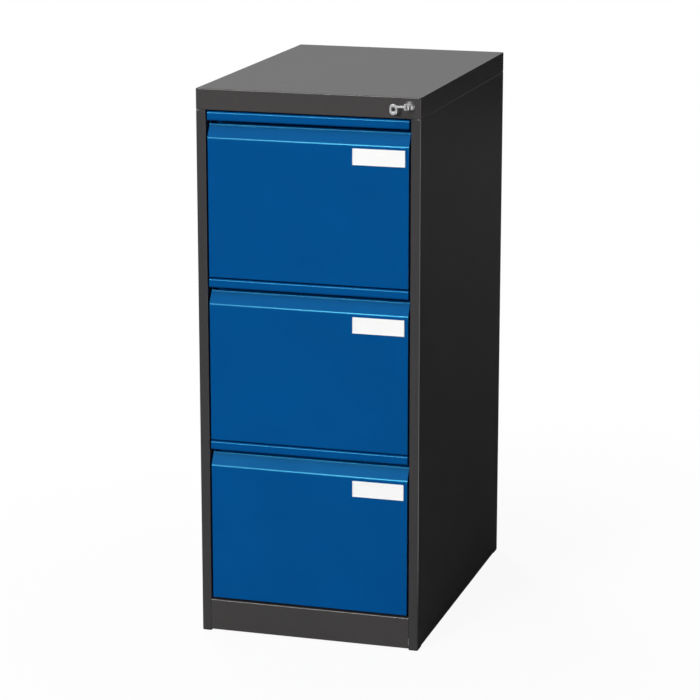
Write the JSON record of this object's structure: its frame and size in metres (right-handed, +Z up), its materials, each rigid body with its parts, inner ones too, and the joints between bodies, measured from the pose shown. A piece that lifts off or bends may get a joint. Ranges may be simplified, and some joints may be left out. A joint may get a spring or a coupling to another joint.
{
  "type": "hanging file cabinet",
  "caption": "Tall steel filing cabinet with flush pull-out drawers for hanging files, full-width finger pulls, a cam lock with key and a plinth.",
  "frame": {"origin": "on the floor, at the middle of the whole object's footprint: width over the side panels, depth from the key's hinge in front of the lock to the back", "axes": "+Z up, +X to the right seen from the front, +Y from the front to the back; the drawers pull out along -Y"},
  "size_m": [0.415, 0.6378, 1.016],
  "materials": {
    "charcoal_paint": "satin powder coat",
    "side_paint": "satin powder coat",
    "inner_paint": "satin powder coat",
    "blue_paint": "satin powder coat",
    "label_plastic": "smooth white",
    "label_card": "plain white card",
    "zinc_plate": "bright zinc plate",
    "ball_steel": "ground steel",
    "foot_plastic": "matt black",
    "chrome": "bright plate"
  },
  "bodies": {
    "cabinet": {"top_cover": "charcoal_paint", "left_side_panel": "side_paint", "right_side_panel": "side_paint", "back_panel": "inner_paint", "base_pan": "inner_paint", "plinth": "charcoal_paint", "front_left_upright": "inner_paint", "front_right_upright": "inner_paint", "rear_left_upright": "inner_paint", "rear_right_upright": "inner_paint", "feet": "foot_plastic", "lock_housing": "chrome", "lock_nut": "zinc_plate", "lock_bar_guides": "zinc_plate", "drawer_1_runner_outer": "zinc_plate", "drawer_2_runner_outer": "zinc_plate", "drawer_3_runner_outer": "zinc_plate"},
    "lock_plug": {"lock_plug": "chrome", "lock_cam": "zinc_plate", "cam_screw": "zinc_plate", "key": "chrome"},
    "lock_bar": {"lock_bar": "zinc_plate", "lock_bar_tabs": "zinc_plate"},
    "key_bow": {"key_bow": "chrome"},
    "drawer_1": {"drawer_1_front": "blue_paint", "drawer_1_top_rail": "blue_paint", "drawer_1_inner_front": "inner_paint", "drawer_1_tray": "inner_paint", "drawer_1_back": "inner_paint", "drawer_1_label_holder": "label_plastic", "drawer_1_label_card": "label_card", "drawer_1_catch": "zinc_plate", "drawer_1_runner_inner": "zinc_plate"},
    "drawer_1_inner_balls": {"drawer_1_inner_balls": "ball_steel"},
    "drawer_1_runner_middle": {"drawer_1_runner_middle": "zinc_plate"},
    "drawer_1_outer_balls": {"drawer_1_outer_balls": "ball_steel"},
    "drawer_2": {"drawer_2_front": "blue_paint", "drawer_2_top_rail": "blue_paint", "drawer_2_inner_front": "inner_paint", "drawer_2_tray": "inner_paint", "drawer_2_back": "inner_paint", "drawer_2_label_holder": "label_plastic", "drawer_2_label_card": "label_card", "drawer_2_catch": "zinc_plate", "drawer_2_runner_inner": "zinc_plate"},
    "drawer_2_inner_balls": {"drawer_2_inner_balls": "ball_steel"},
    "drawer_2_runner_middle": {"drawer_2_runner_middle": "zinc_plate"},
    "drawer_2_outer_balls": {"drawer_2_outer_balls": "ball_steel"},
    "drawer_3": {"drawer_3_front": "blue_paint", "drawer_3_top_rail": "blue_paint", "drawer_3_inner_front": "inner_paint", "drawer_3_tray": "inner_paint", "drawer_3_back": "inner_paint", "drawer_3_label_holder": "label_plastic", "drawer_3_label_card": "label_card", "drawer_3_catch": "zinc_plate", "drawer_3_runner_inner": "zinc_plate"},
    "drawer_3_inner_balls": {"drawer_3_inner_balls": "ball_steel"},
    "drawer_3_runner_middle": {"drawer_3_runner_middle": "zinc_plate"},
    "drawer_3_outer_balls": {"drawer_3_outer_balls": "ball_steel"}
  },
  "joints": [
    {"name": "drawer_1_slide", "type": "slide", "parent": "cabinet", "child": "drawer_1", "axis": [0, -1, 0], "range_m": [0, 0.53]},
    {"name": "drawer_1_runner_middle_slide", "type": "slide", "parent": "cabinet", "child": "drawer_1_runner_middle", "axis": [0, -1, 0], "range_m": [0, 0.265]},
    {"name": "drawer_1_outer_balls_slide", "type": "slide", "parent": "cabinet", "child": "drawer_1_outer_balls", "axis": [0, -1, 0], "range_m": [0, 0.1325]},
    {"name": "drawer_1_inner_balls_slide", "type": "slide", "parent": "cabinet", "child": "drawer_1_inner_balls", "axis": [0, -1, 0], "range_m": [0, 0.3975]},
    {"name": "drawer_2_slide", "type": "slide", "parent": "cabinet", "child": "drawer_2", "axis": [0, -1, 0], "range_m": [0, 0.53]},
    {"name": "drawer_2_runner_middle_slide", "type": "slide", "parent": "cabinet", "child": "drawer_2_runner_middle", "axis": [0, -1, 0], "range_m": [0, 0.265]},
    {"name": "drawer_2_outer_balls_slide", "type": "slide", "parent": "cabinet", "child": "drawer_2_outer_balls", "axis": [0, -1, 0], "range_m": [0, 0.1325]},
    {"name": "drawer_2_inner_balls_slide", "type": "slide", "parent": "cabinet", "child": "drawer_2_inner_balls", "axis": [0, -1, 0], "range_m": [0, 0.3975]},
    {"name": "drawer_3_slide", "type": "slide", "parent": "cabinet", "child": "drawer_3", "axis": [0, -1, 0], "range_m": [0, 0.53]},
    {"name": "drawer_3_runner_middle_slide", "type": "slide", "parent": "cabinet", "child": "drawer_3_runner_middle", "axis": [0, -1, 0], "range_m": [0, 0.265]},
    {"name": "drawer_3_outer_balls_slide", "type": "slide", "parent": "cabinet", "child": "drawer_3_outer_balls", "axis": [0, -1, 0], "range_m": [0, 0.1325]},
    {"name": "drawer_3_inner_balls_slide", "type": "slide", "parent": "cabinet", "child": "drawer_3_inner_balls", "axis": [0, -1, 0], "range_m": [0, 0.3975]},
    {"name": "lock_turn", "type": "hinge", "parent": "cabinet", "child": "lock_plug", "pos_m": [0.187, -0.30305, 1.0005], "axis": [0, 1, 0], "range_deg": [0, 90]},
    {"name": "lock_bar_slide", "type": "slide", "parent": "cabinet", "child": "lock_bar", "axis": [0, 0, -1], "range_m": [0, 0.01556]},
    {"name": "key_bow_fold", "type": "hinge", "parent": "lock_plug", "child": "key_bow", "pos_m": [0.187, -0.31655, 1.0005], "axis": [0, 0, 1], "range_deg": [0, 180]}
  ],
  "couplings": [
    {"joint": "drawer_1_runner_middle_slide", "follows": "drawer_1_slide", "ratio": 0.5},
    {"joint": "drawer_1_outer_balls_slide", "follows": "drawer_1_slide", "ratio": 0.25},
    {"joint": "drawer_1_inner_balls_slide", "follows": "drawer_1_slide", "ratio": 0.75},
    {"joint": "drawer_2_runner_middle_slide", "follows": "drawer_2_slide", "ratio": 0.5},
    {"joint": "drawer_2_outer_balls_slide", "follows": "drawer_2_slide", "ratio": 0.25},
    {"joint": "drawer_2_inner_balls_slide", "follows": "drawer_2_slide", "ratio": 0.75},
    {"joint": "drawer_3_runner_middle_slide", "follows": "drawer_3_slide", "ratio": 0.5},
    {"joint": "drawer_3_outer_balls_slide", "follows": "drawer_3_slide", "ratio": 0.25},
    {"joint": "drawer_3_inner_balls_slide", "follows": "drawer_3_slide", "ratio": 0.75},
    {"joint": "lock_turn", "follows": "lock_bar_slide", "rad_per_m": 100.97}
  ]
}
